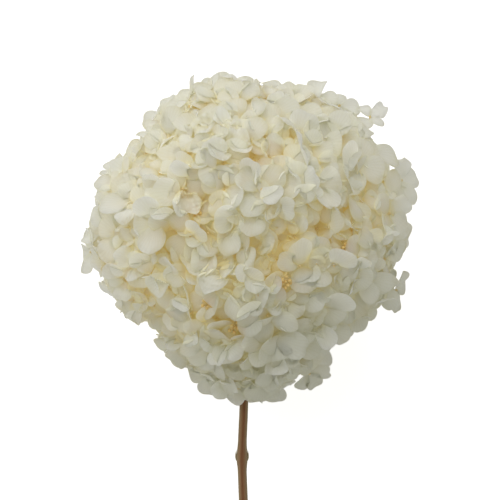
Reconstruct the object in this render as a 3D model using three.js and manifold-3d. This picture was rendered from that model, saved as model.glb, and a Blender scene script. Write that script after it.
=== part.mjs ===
// A cut hydrangea: one flower head of many small clusters on a woody stem, lying on its side.
//
// Millimetres, +Z up. The head and the cut end of the stem rest on the plane z = 0. The stem points
// along -Y and the crown of the head along +Y. The origin is under the middle of the whole flower.
//
// The flower is drawn in a frame of its own, "the flower's frame", whose centre is the middle of
// the head: x to the right, y up the stem, z towards the side that faces up when it lies down.
// That frame is tipped about x, so that the cut end of the stem comes down to the table.

import * as THREE from "three";
import { mergeVertices } from "three/addons/utils/BufferGeometryUtils.js";
import Module from "manifold-3d";

const wasm = await Module();
wasm.setup();

// ---------------------------------------------------------------- driving dimensions, millimetres

const HEAD_RADIUS = 100; // middle of the head to the tips of its largest lobes
const HOLLOW_RADIUS = 68; // middle of the head to the bottom of the folds between lobes
const PRESSED_FLAT = 7; // how far the head's own weight presses it on to the table

const CLUSTER_DEPTH = 38; // florets' faces to the point where their stalks meet
const CORE_RADIUS = 44; // no cluster reaches further in than this
const CLUSTER_GAP = 1.8; // free space between neighbouring clusters
const CLUSTER_CROWN = 7; // height of a cluster's dome over its rim
const CLUSTER_RIM = 5; // thickness of a cluster at its rim
const CLUSTER_FOOT_RADIUS = 2.2; // flat foot of a cluster, where it meets its twig

const STEM_BELOW_HEAD = 188; // neck to cut end
const STEM_RADIUS = 2.6;
const STEM_CUT_RADIUS = 3.0; // the stem is a little thicker at the cut end
const STEM_TIP_RADIUS = 1.7; // and thinner where it ends inside the head
const STEM_TIP_HEIGHT = 14; // above the middle of the head
const JOINT_SWELLING = 0.9; // how far the stem swells at a leaf joint
const JOINT_LENGTH = 5; // half the length of that swelling
const FIRST_JOINT_BELOW_HEAD = 32; // neck to the first leaf joint
const JOINT_SPACING = 67; // from one leaf joint to the next
const STEM_SWAY = 1.1; // how far the stem wanders from a straight line

const BRANCH_RADIUS = 1.3; // where a branch leaves the stem
const FORK_RADIUS = 1.05; // where it divides into twigs
const TWIG_RADIUS = 0.75; // where a twig meets its cluster
const BRANCH_GAP = 1.5; // free space between the feet of two branches on the stem
const BRANCH_RISE = 4; // how far a branch arches upwards on its way out
const JOIN_GAP = 0.4; // between pieces that meet

const NECK_HEIGHT = -0.96 * HEAD_RADIUS; // the stem leaves the head here
const STEM_PASSAGE_RADIUS = STEM_RADIUS + STEM_SWAY + 2; // kept free of clusters, round the stem

// The lobes of the head, each a dome of flower clusters on one branch of its own. For each: its
// direction (x, y, z) from the middle of the head, how far it reaches as a share of HEAD_RADIUS,
// its half width in degrees, and how many clusters it carries.
const LOBES = {
  crown_top: [-0.08, 0.98, 0.15, 0.96, 23, 3],
  crown_front: [0.12, 0.5, 0.8, 0.98, 25, 4],
  shoulder_left: [-0.68, 0.68, 0.25, 0.89, 21, 2],
  shoulder_right: [0.6, 0.76, 0.15, 0.99, 22, 2],
  side_left: [-0.98, 0.04, 0.25, 0.93, 24, 3],
  side_right: [0.96, 0.28, 0.1, 0.99, 19, 2],
  hip_right: [0.96, -0.24, 0.1, 0.98, 15, 2],
  hip_left: [-0.8, -0.46, 0.3, 0.8, 19, 2],
  front_left: [-0.5, 0.12, 0.82, 0.93, 20, 2],
  front_right: [0.58, 0.0, 0.8, 0.95, 21, 2],
  front_low: [0.16, -0.5, 0.82, 0.95, 24, 3],
  base_left: [-0.16, -0.96, 0.2, 0.89, 18, 1],
  base_right: [0.26, -0.93, 0.2, 0.91, 20, 2],
  back_top: [0.0, 0.62, -0.7, 0.95, 25, 2],
  back_left: [-0.68, 0.1, -0.66, 0.93, 24, 2],
  back_right: [0.7, 0.08, -0.66, 0.94, 24, 2],
  back_middle: [0.0, -0.12, -0.96, 0.98, 25, 2],
  back_low: [0.03, -0.72, -0.62, 0.9, 24, 2],
};

// How the clusters are spread over the head, as shares of their even spacing.
const CLUSTER_FROM_STEM = 0.6; // the closest that one stands to the stem
const CLUSTER_REACH = 0.8; // the furthest that one reaches from its own middle
const EASING_PASSES = 60;
const EASING_STRENGTH = 0.2;

// How finely curved pieces are divided.
const STEM_SIDES = 12;
const STEM_STEPS = 40;
const BRANCH_SIDES = 6;
const BRANCH_STEPS = 5;
const CLUSTER_SIDES = 14;

// ---------------------------------------------------------------- colours and finishes

const floretWhite = new THREE.MeshStandardMaterial({ color: 0xe6e2cc, roughness: 0.75, metalness: 0 });
const stalkStraw = new THREE.MeshStandardMaterial({ color: 0xc9b878, roughness: 0.8, metalness: 0 });
const barkBrown = new THREE.MeshStandardMaterial({ color: 0x7a5636, roughness: 0.85, metalness: 0 });

// ---------------------------------------------------------------- small helpers

const UP_THE_STEM = new THREE.Vector3(0, 1, 0);
const DOWN_THE_STEM = new THREE.Vector3(0, -1, 0);

// A closed surface of rings between two end points, facing out when the rings turn clockwise
// as seen from the first end.
function closedRings(firstEnd, rings, lastEnd) {
  const sides = rings[0].length;
  const points = [firstEnd, ...rings.flat(), lastEnd];
  const last = points.length - 1;
  const at = (ring, side) => 1 + ring * sides + (side % sides);
  const faces = [];
  for (let side = 0; side < sides; side++) {
    faces.push(0, at(0, side + 1), at(0, side));
    for (let ring = 0; ring + 1 < rings.length; ring++) {
      faces.push(at(ring, side), at(ring, side + 1), at(ring + 1, side + 1));
      faces.push(at(ring, side), at(ring + 1, side + 1), at(ring + 1, side));
    }
    faces.push(last, at(rings.length - 1, side), at(rings.length - 1, side + 1));
  }
  return new THREE.BufferGeometry().setFromPoints(points).setIndex(faces);
}

// A solid limb along a curve, with flat ends. radiusAt gives the radius at a share of the length.
function limb(curve, radiusAt, sides, steps) {
  const { normals, binormals } = curve.computeFrenetFrames(steps);
  const rings = [];
  for (let step = 0; step <= steps; step++) {
    const share = step / steps;
    const middle = curve.getPointAt(share);
    const ring = [];
    for (let side = 0; side < sides; side++) {
      const turn = (2 * Math.PI * side) / sides;
      ring.push(
        middle
          .clone()
          .addScaledVector(normals[step], radiusAt(share) * Math.cos(turn))
          .addScaledVector(binormals[step], radiusAt(share) * Math.sin(turn)),
      );
    }
    rings.push(ring);
  }
  return closedRings(curve.getPointAt(0), rings, curve.getPointAt(1));
}

function solidOf(geometry) {
  const bare = new THREE.BufferGeometry()
    .setAttribute("position", geometry.getAttribute("position"))
    .setIndex(geometry.getIndex());
  const merged = mergeVertices(bare, 1e-4);
  return new wasm.Manifold(
    new wasm.Mesh({
      numProp: 3,
      vertProperties: new Float32Array(merged.getAttribute("position").array),
      triVerts: new Uint32Array(merged.getIndex().array),
    }),
  );
}

function geometryOf(solid) {
  const mesh = solid.getMesh();
  return new THREE.BufferGeometry()
    .setAttribute("position", new THREE.BufferAttribute(mesh.vertProperties, 3))
    .setIndex(new THREE.BufferAttribute(mesh.triVerts, 1));
}

function namedMesh(name, geometry, material) {
  geometry.computeVertexNormals();
  const mesh = new THREE.Mesh(geometry, material);
  mesh.name = name;
  return mesh;
}

// ---------------------------------------------------------------- the outside of the head

const lobes = Object.entries(LOBES).map(([name, [x, y, z, reach, width, count]]) => ({
  name,
  outwards: new THREE.Vector3(x, y, z).normalize(),
  rise: reach * HEAD_RADIUS - HOLLOW_RADIUS,
  halfWidth: THREE.MathUtils.degToRad(width),
  count,
}));

// How far the head reaches along a direction: the lobes rise from the bottom of the folds and run
// softly into one another.
function headReach(direction) {
  let cubes = 0;
  for (const { outwards, rise, halfWidth } of lobes) {
    const angle = outwards.angleTo(direction);
    cubes += (rise * Math.exp(-0.5 * (angle / halfWidth) ** 2)) ** 3;
  }
  return HOLLOW_RADIUS + Math.cbrt(cubes);
}

// The tilt of the stem and the height of the middle of the head when the flower lies down: the head
// rests on its back, pressed flat a little, and the rim of the stem's cut end touches the table.
const stemReach = STEM_BELOW_HEAD - NECK_HEIGHT;
let tilt = 0;
let headHeight = HEAD_RADIUS;
for (let pass = 0; pass < 10; pass++) {
  headHeight = headReach(new THREE.Vector3(0, -Math.sin(tilt), -Math.cos(tilt))) - PRESSED_FLAT;
  tilt =
    Math.asin(headHeight / Math.hypot(stemReach, STEM_CUT_RADIUS)) -
    Math.atan2(STEM_CUT_RADIUS, stemReach);
}
const tableNormal = new THREE.Vector3(0, Math.sin(tilt), Math.cos(tilt));

// How far it is to the table along a direction from the middle of the head.
function tableReach(direction) {
  const rise = direction.dot(tableNormal);
  return rise < 0 ? -headHeight / rise : Infinity;
}

// ---------------------------------------------------------------- where the clusters sit

// Each lobe's clusters start in a ring round its own direction, then all of them are eased apart,
// and away from the stem, until they stand evenly over the head.
function ringRound(direction, count, angle, firstTurn) {
  const across = new THREE.Vector3().crossVectors(direction, UP_THE_STEM);
  if (across.lengthSq() < 0.01) across.set(1, 0, 0);
  across.normalize();
  const ring = [];
  for (let index = 0; index < count; index++) {
    const turn = firstTurn + (2 * Math.PI * index) / count;
    const axis = across.clone().applyAxisAngle(direction, turn);
    ring.push(direction.clone().applyAxisAngle(axis, angle));
  }
  return ring;
}

const clusters = lobes.flatMap((lobe, index) => {
  const angle = lobe.count === 1 ? 0 : 0.6 * lobe.halfWidth;
  return ringRound(lobe.outwards, lobe.count, angle, index).map((direction, place) => ({
    lobe,
    name: `${lobe.name}_cluster_${place + 1}`,
    direction,
  }));
});

const evenSpacing = Math.sqrt((4 * Math.PI) / clusters.length);
for (let pass = 0; pass < EASING_PASSES; pass++) {
  for (const one of clusters) {
    const push = new THREE.Vector3();
    for (const other of clusters) {
      const angle = one.direction.angleTo(other.direction);
      if (other === one || angle > evenSpacing) continue;
      const apart = one.direction.clone().sub(other.direction).normalize();
      push.addScaledVector(apart, EASING_STRENGTH * (evenSpacing - angle));
    }
    const stemAngle = one.direction.angleTo(DOWN_THE_STEM);
    const tooClose = Math.max(0, CLUSTER_FROM_STEM * evenSpacing - stemAngle);
    push.addScaledVector(one.direction.clone().sub(DOWN_THE_STEM).normalize(), tooClose);
    one.direction.add(push).normalize();
  }
}

for (const cluster of clusters) {
  const reach = headReach(cluster.direction);
  cluster.footReach = Math.max(reach - CLUSTER_DEPTH, CORE_RADIUS);
  cluster.foot = cluster.direction.clone().multiplyScalar(cluster.footReach);
}

// ---------------------------------------------------------------- pieces

// The main stem, from its cut end up into the head. Its leaf joints are swellings with a slight
// bend at each, and inside the head it thins towards its tip.
const jointHeights = [];
for (
  let height = NECK_HEIGHT - FIRST_JOINT_BELOW_HEAD;
  height > -stemReach + JOINT_LENGTH;
  height -= JOINT_SPACING
)
  jointHeights.push(height);

const stemCurveTo = (tipHeight) =>
  new THREE.CatmullRomCurve3([
    new THREE.Vector3(0, -stemReach, 0),
    ...jointHeights
      .toReversed()
      .map((height, place) => new THREE.Vector3((place % 2 ? 1 : -1) * STEM_SWAY, height, 0)),
    new THREE.Vector3(0, NECK_HEIGHT, 0),
    new THREE.Vector3(0, tipHeight, 0),
  ]);

function stemRadiusAt(height) {
  const below = THREE.MathUtils.clamp((NECK_HEIGHT - height) / STEM_BELOW_HEAD, 0, 1);
  const within = THREE.MathUtils.clamp((height - NECK_HEIGHT) / (STEM_TIP_HEIGHT - NECK_HEIGHT), 0, 1);
  let radius = STEM_RADIUS;
  radius += (STEM_CUT_RADIUS - STEM_RADIUS) * below;
  radius += (STEM_TIP_RADIUS - STEM_RADIUS) * within;
  for (const joint of jointHeights)
    radius += JOINT_SWELLING * Math.exp(-(((height - joint) / (0.6 * JOINT_LENGTH)) ** 2));
  return radius;
}

// The stem itself with no clearance, or the space that it needs with one.
function stemLimb(clearance) {
  const curve = stemCurveTo(STEM_TIP_HEIGHT + clearance);
  const radiusAt = (share) => stemRadiusAt(curve.getPointAt(share).y) + clearance;
  return limb(curve, radiusAt, STEM_SIDES, STEM_STEPS);
}

// The branches leave the stem one above the other, in the order of the heights that they serve. The
// highest goes on from the tip of the stem.
for (const lobe of lobes) {
  lobe.clusters = clusters.filter((cluster) => cluster.lobe === lobe);
  lobe.feet = new THREE.Vector3();
  for (const { foot } of lobe.clusters) lobe.feet.addScaledVector(foot, 1 / lobe.count);
}
lobes
  .toSorted((one, other) => other.feet.y - one.feet.y)
  .forEach((lobe, place) => {
    lobe.leavesAt = STEM_TIP_HEIGHT + JOIN_GAP - place * (2 * BRANCH_RADIUS + BRANCH_GAP);
  });

// A branch leaves the stem, arches outwards to the fork of its lobe, and divides there into one twig
// for each cluster. Its foot is hollowed to fit round the stem.
function branchGeometry(lobe) {
  const leaves = new THREE.Vector3(0, lobe.leavesAt, 0);
  const fork = leaves.clone().lerp(lobe.feet, 0.5);
  const rise = leaves.clone().lerp(fork, 0.5).addScaledVector(UP_THE_STEM, BRANCH_RISE);
  const trunk = limb(
    new THREE.QuadraticBezierCurve3(leaves, rise, fork),
    (share) => THREE.MathUtils.lerp(BRANCH_RADIUS, FORK_RADIUS, share),
    BRANCH_SIDES,
    BRANCH_STEPS,
  );
  let branch = solidOf(trunk);
  for (const { foot, direction, footReach } of lobe.clusters) {
    const top = foot.clone().addScaledVector(direction, -JOIN_GAP);
    const turn = top.clone().addScaledVector(direction, -0.25 * footReach);
    const twig = limb(
      new THREE.QuadraticBezierCurve3(fork.clone().lerp(rise, 0.1), turn, top),
      (share) => THREE.MathUtils.lerp(FORK_RADIUS, TWIG_RADIUS, share),
      BRANCH_SIDES,
      BRANCH_STEPS,
    );
    branch = branch.add(solidOf(twig));
  }
  return geometryOf(branch.subtract(solidOf(stemLimb(JOIN_GAP))));
}

// The widest a cluster may be at one turn round its own direction: half way to each neighbour less
// half the gap, and clear of the passage for the stem. Angles are at the middle of the head.
function edgeAngle(cluster, sideways) {
  const limits = clusters
    .filter((other) => other !== cluster)
    .map((other) => cluster.direction.clone().sub(other.direction).normalize());
  const passage = Math.asin(STEM_PASSAGE_RADIUS / CORE_RADIUS);
  const aside = new THREE.Vector3().crossVectors(cluster.direction, DOWN_THE_STEM).normalize();
  const stemEdge = DOWN_THE_STEM.clone().applyAxisAngle(aside, -passage);
  limits.push(aside.clone().cross(stemEdge).negate());
  let angle = CLUSTER_REACH * evenSpacing;
  for (const limit of limits) {
    const closing = -limit.dot(sideways);
    if (closing > 0) angle = Math.min(angle, Math.atan(limit.dot(cluster.direction) / closing));
  }
  return angle - CLUSTER_GAP / 2 / HOLLOW_RADIUS;
}

// A cluster is a dome of florets over a cone of stalks. The dome follows the outside of the head and
// is flat where it lies on the table; the cone closes on the foot.
function clusterGeometry(cluster) {
  const { direction, footReach } = cluster;
  const across = new THREE.Vector3().crossVectors(direction, UP_THE_STEM).normalize();
  const along = new THREE.Vector3().crossVectors(across, direction);
  const footShare = (angle) => Math.asin(CLUSTER_FOOT_RADIUS / footReach) / angle;

  // [share of the edge angle, drop below the head's outside] for the dome, from crown to rim
  const dome = [0.4, 0.75, 1].map((share) => [share, CLUSTER_CROWN * share ** 2]);
  const outside = (towards, drop) => Math.min(headReach(towards) - drop, tableReach(towards));
  const towardsAt = (sideways, angle) =>
    direction.clone().multiplyScalar(Math.cos(angle)).addScaledVector(sideways, Math.sin(angle));

  const sideways = [];
  for (let side = 0; side < CLUSTER_SIDES; side++) {
    const turn = (2 * Math.PI * side) / CLUSTER_SIDES;
    sideways.push(
      across.clone().multiplyScalar(Math.cos(turn)).addScaledVector(along, Math.sin(turn)),
    );
  }
  const edges = sideways.map((way) => edgeAngle(cluster, way));
  const ringOf = (shareOf, reachOf) =>
    sideways.map((way, side) => {
      const towards = towardsAt(way, shareOf(edges[side]) * edges[side]);
      return towards.clone().multiplyScalar(reachOf(towards));
    });

  const rings = dome.map(([share, drop]) =>
    ringOf(
      () => share,
      (towards) => outside(towards, drop),
    ),
  );
  rings.push(
    ringOf(
      () => 0.97,
      (towards) => outside(towards, CLUSTER_CROWN) - CLUSTER_RIM,
    ),
    ringOf(footShare, () => footReach),
  );
  const crown = direction.clone().multiplyScalar(outside(direction, 0));
  return closedRings(crown, rings, cluster.foot);
}

// ---------------------------------------------------------------- the whole flower

const flower = new THREE.Group();
flower.add(namedMesh("stem", stemLimb(0), barkBrown));
for (const lobe of lobes) {
  const group = new THREE.Group();
  group.add(namedMesh(`${lobe.name}_branch`, branchGeometry(lobe), stalkStraw));
  for (const cluster of lobe.clusters)
    group.add(namedMesh(cluster.name, clusterGeometry(cluster), floretWhite));
  flower.add(group);
}
flower.rotation.x = tilt;
flower.position.z = headHeight;

// The origin goes under the middle of the whole flower, at the height of the table.
const part = new THREE.Group();
part.add(flower);
part.updateMatrixWorld(true);
const box = new THREE.Box3().setFromObject(part, true);
flower.position.x -= (box.min.x + box.max.x) / 2;
flower.position.y -= (box.min.y + box.max.y) / 2;

export default part;
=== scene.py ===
import math

import bpy
import numpy as np
from mathutils import Matrix, Vector


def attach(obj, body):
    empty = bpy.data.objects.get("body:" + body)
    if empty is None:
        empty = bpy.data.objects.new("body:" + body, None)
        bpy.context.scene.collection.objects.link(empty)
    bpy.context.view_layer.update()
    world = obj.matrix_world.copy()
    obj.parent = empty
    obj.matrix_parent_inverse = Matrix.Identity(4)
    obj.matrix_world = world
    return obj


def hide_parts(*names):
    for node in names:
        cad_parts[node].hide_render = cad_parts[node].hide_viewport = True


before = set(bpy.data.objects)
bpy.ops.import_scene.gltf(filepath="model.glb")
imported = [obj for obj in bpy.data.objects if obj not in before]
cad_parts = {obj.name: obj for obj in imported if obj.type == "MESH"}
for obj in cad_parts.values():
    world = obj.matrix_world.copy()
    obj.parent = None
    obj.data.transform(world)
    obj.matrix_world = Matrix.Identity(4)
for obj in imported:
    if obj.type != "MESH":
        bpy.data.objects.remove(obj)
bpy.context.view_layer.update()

# A cut hydrangea lies on a pale table: cream florets of four sepals each, on thin stalks, and a
# woody stem. Lengths are metres. Most shapes are worked out in the flower's own frame, whose centre
# is the middle of the head: x to the right, y up the stem, z towards the side that faces up.

MM = 0.001


def draws(stream):
    """A random generator of its own for each part, so that one part's count leaves the others be."""
    return np.random.default_rng([7, stream])


# ---------------------------------------------------------------- sizes and places

STEM_TIP_HEIGHT = 14 * MM  # the stem ends this far above the middle of the head
TABLE_SKIN = 3 * MM  # petals lower than this are pressed on to the table
GOLDEN_TURN = math.pi * (1 + math.sqrt(5))  # from one place on a golden spiral to the next

# The florets lie in three layers. The sinks of the inner and deep ones are on top of the outer one's.
OUTER_FLORETS = 720
INNER_FLORETS = 520
DEEP_FLORETS = 300
OUTER_SINK = 3.5 * MM  # the highest florets are this far under the outside of the head
INNER_SINK = 5 * MM
DEEP_SINK = 10.5 * MM
SINK_SPREAD = 2.6 * MM
STEM_CLEAR_ANGLE = math.radians(9)  # no floret sits closer than this round the stem

FLORET_SIZE = 1.01
FLORET_SIZE_SPREAD = 0.16
LEAN = 0.17  # how far a floret's face leans by chance
FAR_LEAN = 0.5  # how far it leans on a few of them
FAR_LEAN_SHARE = 0.09  # how many of them those are
LEAN_TO_LIGHT = 0.34  # how far florets on the side that faces up turn to face up

# Where the head is pinched in between its lobes: direction, depth, half width in degrees.
PINCHES = [
    ((-0.72, -0.70, 0.1), 7 * MM, 22),
    ((0.72, -0.68, 0.05), 10 * MM, 15),
    ((0.02, 1.00, 0.1), 4 * MM, 8),
    ((-0.83, 0.56, 0.0), 4 * MM, 8),
    ((0.85, 0.52, 0.0), 5 * MM, 7),
    ((0.99, 0.03, 0.0), 3 * MM, 8),
]

# The folds between the lobes on the side that faces up, as places in mm to the right and up.
FOLDS = [(-26, 29), (-19, 10), (-11, -8), (-29, -6), (-46, -3), (4, -4), (22, 2), (44, 9), (62, 16)]
FOLD_DEPTH = 8.5 * MM
FOLD_WIDTH = math.radians(4.5)

# Florets that stand out of the head on their own: place in mm, the way they face, size.
STRAY_FLORETS = [
    ((74, 71, 2), (0.1, 0.72, 0.68), 0.75),
    ((92, 34, 3), (0.5, 0.2, 0.8), 0.95),
    ((89, -30, 0), (0.8, -0.2, 0.55), 1.0),
    ((-45, 71, 4), (-0.5, 0.5, 0.7), 1.0),
    ((-33, 78, 6), (-0.9, 0.3, 0.2), 0.9),
    ((56, 78, 0), (0.3, 0.6, 0.7), 1.0),
    ((43, 81, 2), (-0.3, 0.7, 0.6), 0.9),
    ((38, -78, 6), (0.5, -0.5, 0.7), 0.85),
    ((12, -83, 8), (0.2, -0.6, 0.8), 1.0),
    ((-8, -81, 10), (-0.1, -0.6, 0.8), 1.0),
    ((-16, 83, 4), (-0.4, 0.7, 0.6), 0.9),
    ((-72, 39, 6), (-0.3, 0.9, 0.3), 0.85),
    ((-89, -6, 2), (-0.7, -0.3, 0.6), 0.95),
    ((-20, -79, 6), (-0.4, -0.7, 0.6), 0.9),
    ((-3, -86, 9), (-0.1, -0.5, 0.85), 0.85),
    ((16, -85, 3), (0.2, -0.7, 0.6), 0.85),
]

# Knots of fertile buds that show between the florets, in mm to the right and up, and how far each
# is sunk under the outside of the head.
BUD_KNOTS = [(-22, -39), (-5, -53), (24, -25), (60, -7), (-30, 18), (8, 42)]
KNOT_SINKS = np.array([2.5, 3, 1.5, 4.5, 5, 5]) * MM
HIDDEN_KNOT_SINK = 9 * MM
HIDDEN_KNOTS = 40
BUDS_IN_KNOT = 9
KNOT_RADIUS = 3.6 * MM
KNOT_CLEAR_ANGLE = math.radians(6.5)  # no outer floret sits closer than this to a knot that shows
BUD_LEAN = 0.35  # how far a fertile bud leans by chance
BUD_SINK_SPREAD = 2.5 * MM

SEPAL_LENGTH = 13.6 * MM
SEPAL_WIDTH = 15.0 * MM
SEPAL_THICKNESS = 0.3 * MM
SEPAL_BASE = 0.6 * MM  # from the middle of a floret to the base of a sepal
SEPAL_CELLS = 6  # a side of a sepal is a grid of this many cells each way
SEPAL_SHARP_ANGLE = math.radians(75)
UPPER_PAIR_LIFT = 0.5 * MM  # two opposite sepals of a floret lie above the other two
UPPER_PAIR_PITCH = 8  # and rise more, in degrees
LEAST_CURL = 0.02  # an arc that turns by less than this many radians is made to turn by it
LENGTH_LIMITS = (0.7, 1.25)  # the least and most that a draw can make of the length,
WIDTH_LIMITS = (0.65, 1.3)  # and of the width
# How sepals differ by chance, as a middle and a spread. Pitch, curl and yaw are in degrees. Length
# and width are shares of the sizes above, cup and ruffle of the width, and notch of the length.
SEPAL_CHANCES = {
    "length": (1, 0.12),
    "width": (1, 0.14),
    "pitch": (10, 11),
    "curl": (-5, 15),
    "cup": (0.08, 0.08),
    "ruffle": (0, 0.05),
    "notch": (0.02, 0.05),
    "yaw": (0, 8),
}

# A stalk has even rings from its foot to its floret, and then the rings of the bud on its end. The
# bud's rings are given by their heights as shares of its width and their radii as shares of its own.
STALK_RADIUS = 0.5 * MM
STALK_TAPER = (1.15, 0.8)  # shares of that radius at its foot and under its floret
STALK_RINGS = 7
STALK_SIDES = 6
STALK_BEND = 0.45  # the corner that a stalk's arc rounds is behind its floret by this share of it
BUD_RING_HEIGHTS = np.array([0.0, 0.45, 0.85, 1.0])
BUD_RING_RADII = np.array([0.75, 1.0, 0.62, 0.15])
BUD_LIFT = 0.2 * MM
BUD_RADIUS = 1.1 * MM
EYE_RADIUS = 0.85 * MM
EYE_GOLD = 0.5  # an eye is this much of the way from straw to gold

# How golden a sepal is goes by its depth, which is counted in steps of DEPTH_OF_GOLD under the outside
# of the head. Where that outside is itself lower than HIGH_REACH, depth is added. The gold is partly
# the inner sepals' own colour and partly painted light: it stands in for light that scatters golden in
# the creases.
DEPTH_OF_GOLD = 8 * MM
DEPTH_SPREAD = 0.05
HIGH_REACH = 92 * MM  # the outside of the head is this far out on most lobes
LOW_REACH_STEP = 40 * MM  # outside that is this much lower counts as one more step
FOLD_STEP = 0.3  # the middle of a fold counts as this much of a step

# Painted shade: how much greyer and greener a sepal is painted where shade falls. It grows along
# SHADE_WAY, down the stem and a little to the right, in the folds and at the deepest places.
SHADE_WAY = np.array([0.35, -0.94, 0.0])
SHADE_START = 10 * MM
SHADE_REACH = 65 * MM
SHADE_IN_FOLD = 0.4
SHADE_DEPTH = 0.9  # painted shade grows on sepals from this depth on
SHADE_PER_DEPTH = 0.6
FLORET_TINT = 0.6  # this share of a sepal's tint is its floret's, and the rest is its own

STEM_STEPS = 420
STEM_SIDES = 40
STEM_SMOOTHING = 9  # steps along the stem over which its line is smoothed, an odd number
STEM_TABLE_GAP = 0.05 * MM
GROOVE_DEPTH = 0.06  # how deep the grooves and how rough the bark, as shares of the stem's radius
BARK_ROUGHNESS = 0.008
GROOVE_LESS_SHEEN = 0.7  # how much of the painted sheen on the stem's flanks is missing in a groove
END_RINGS = np.array([0.12, 0.4, 0.7, 0.93])  # rings on the stem's ends, as shares of its radius
END_HEARTS = np.array([0.0, 0.4, 0.7, 0.9])  # from 0 for pith to 1 for bark, at those rings

JOINT_WINDOW = 20 * MM  # a leaf joint stands out from the mean radius this far up and down,
JOINT_STANDS_OUT = 0.25 * MM  # by at least this much
JOINT_CEILING = -90 * MM  # and is lower than this, below the head
LEAF_BUD_LENGTH = 6.5 * MM
LEAF_BUD_WIDTH = 1.5 * MM
LEAF_BUD_FLATNESS = 0.62  # how deep a bud is, as a share of how wide
LEAF_BUD_BOW = 0.22  # how far its middle bows out and its ends are sunk, as shares of its width
LEAF_BUD_INSET = 0.16
LEAF_BUD_FOOT = 0.35  # this share of a bud is below the middle of its joint
LEAF_BUD_TURN = 0.12  # radians round the stem from its right side to the first bud
LEAF_BUD_STEPS = 9
LEAF_BUD_SIDES = 10
LEAF_BUD_OLIVE = 0.8  # how olive a bud is, its own colour, where 1 is the painted sheen on the stem's flanks

TABLE_HALF_WIDTH = 3.0
TABLE_GLOW = 0.75  # what the camera sees of it, beyond the light that falls on it
KEY_WAY = (-0.6, 1.25, 1.0)  # from the head to the key light, in the flower's frame
KEY_DISTANCE = 1.9
KEY_SIZE = 3.0
KEY_POWER = 23.5
KEY_COLOUR = (1.0, 0.985, 0.94)
SKY_COLOUR = (0.99, 1.0, 0.95, 1)
SKY_STRENGTH = 0.365
LIGHT_BOUNCES = 12
CAMERA_DISTANCE = 1.25
VIEW_WIDTH = 294 * MM  # width of the view at the middle of the head
VIEW_CENTRE = (3.7 * MM, -5.9 * MM)  # the middle of the view, in the flower's frame

# ---------------------------------------------------------------- the flower's frame


def node_points(name):
    """The corners of a CAD node, each once."""
    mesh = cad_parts[name].data
    points = np.empty(3 * len(mesh.vertices))
    mesh.vertices.foreach_get("co", points)
    return np.unique(points.reshape(-1, 3).round(7), axis=0)


def unit(vectors):
    return vectors / np.linalg.norm(vectors, axis=-1, keepdims=True)


def stem_ends():
    """The middles of the stem's two end faces, the cut one first. In each round they are the means of
    the corners that lie within a little of either end, along the line of the round before."""
    little = 0.1 * MM
    points = node_points("stem")
    low = points[points[:, 1].argmin()]
    high = points[points[:, 1].argmax()]
    for _ in range(3):
        height = points @ unit(high - low)
        low = points[height < height.min() + little].mean(0)
        high = points[height > height.max() - little].mean(0)
    return low, high


STEM_CUT, STEM_TIP = stem_ends()
UP_STEM = unit(STEM_TIP - STEM_CUT)
RIGHT = np.array([1.0, 0.0, 0.0])
FRONT = np.cross(RIGHT, UP_STEM)
AXES = np.stack([RIGHT, UP_STEM, FRONT])
HEAD_MIDDLE = STEM_TIP - STEM_TIP_HEIGHT * UP_STEM


def to_world(points):
    return HEAD_MIDDLE + points @ AXES


def to_flower(points):
    return (points - HEAD_MIDDLE) @ AXES.T


# ---------------------------------------------------------------- meshes


def place_in_scene(name, data):
    """A new object for a mesh, light or camera."""
    made = bpy.data.objects.new(name, data)
    bpy.context.scene.collection.objects.link(made)
    return made


def mesh_object(name, points, face_sets, material, replaces=None):
    """A piece on the one body, from points in the CAD's frame and arrays of faces, one array for each
    number of corners."""
    mesh = bpy.data.meshes.new(name)
    mesh.from_pydata(points.tolist(), [], [face for faces in face_sets for face in faces.tolist()])
    mesh.materials.append(material)
    mesh.polygons.foreach_set("use_smooth", np.ones(len(mesh.polygons), bool))
    mesh.update()
    piece = place_in_scene(name, mesh)
    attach(piece, "root")
    if replaces:
        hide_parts(replaces)
    return piece


def point_attribute(piece, name, values):
    made = piece.data.attributes.new(name, "FLOAT", "POINT")
    made.data.foreach_set("value", np.ascontiguousarray(values, np.float32).ravel())


def point_uv(piece, uv):
    """A UV map that takes each corner's place from its point."""
    corners = np.empty(len(piece.data.loops), np.int32)
    piece.data.loops.foreach_get("vertex_index", corners)
    layer = piece.data.uv_layers.new(name="surface")
    layer.data.foreach_set("uv", np.ascontiguousarray(uv[corners], np.float32).ravel())


def repeat_faces(faces, copies, points_each):
    """The faces of one shape, repeated for copies of it that follow one another in the points."""
    shifts = points_each * np.arange(copies)
    return (faces[None, :, :] + shifts[:, None, None]).reshape(-1, faces.shape[1])


def tube_faces(rings, sides):
    """Faces of a closed tube, as its walls with four corners and its caps with three. The first point
    is the middle of the start, the rings follow, and the last point is the middle of the end."""
    index = 1 + np.arange(rings * sides).reshape(rings, sides)
    following = np.roll(index, -1, 1)
    walls = np.stack([index[:-1], following[:-1], following[1:], index[1:]], -1).reshape(-1, 4)
    start = np.stack([following[0], index[0], np.zeros(sides, int)], -1)
    end = np.stack([index[-1], following[-1], np.full(sides, 1 + rings * sides)], -1)
    return walls, np.concatenate([start, end])


def press_on_table(points):
    """Points lower than the skin's height h come to h exp((z - h) / h), which stays above 0."""
    z = points[..., 2]
    under = np.minimum(z - TABLE_SKIN, 0)
    pressed = points.copy()
    pressed[..., 2] = np.where(under < 0, TABLE_SKIN * np.exp(under / TABLE_SKIN), z)
    return pressed


# ---------------------------------------------------------------- the outside of the head

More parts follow.
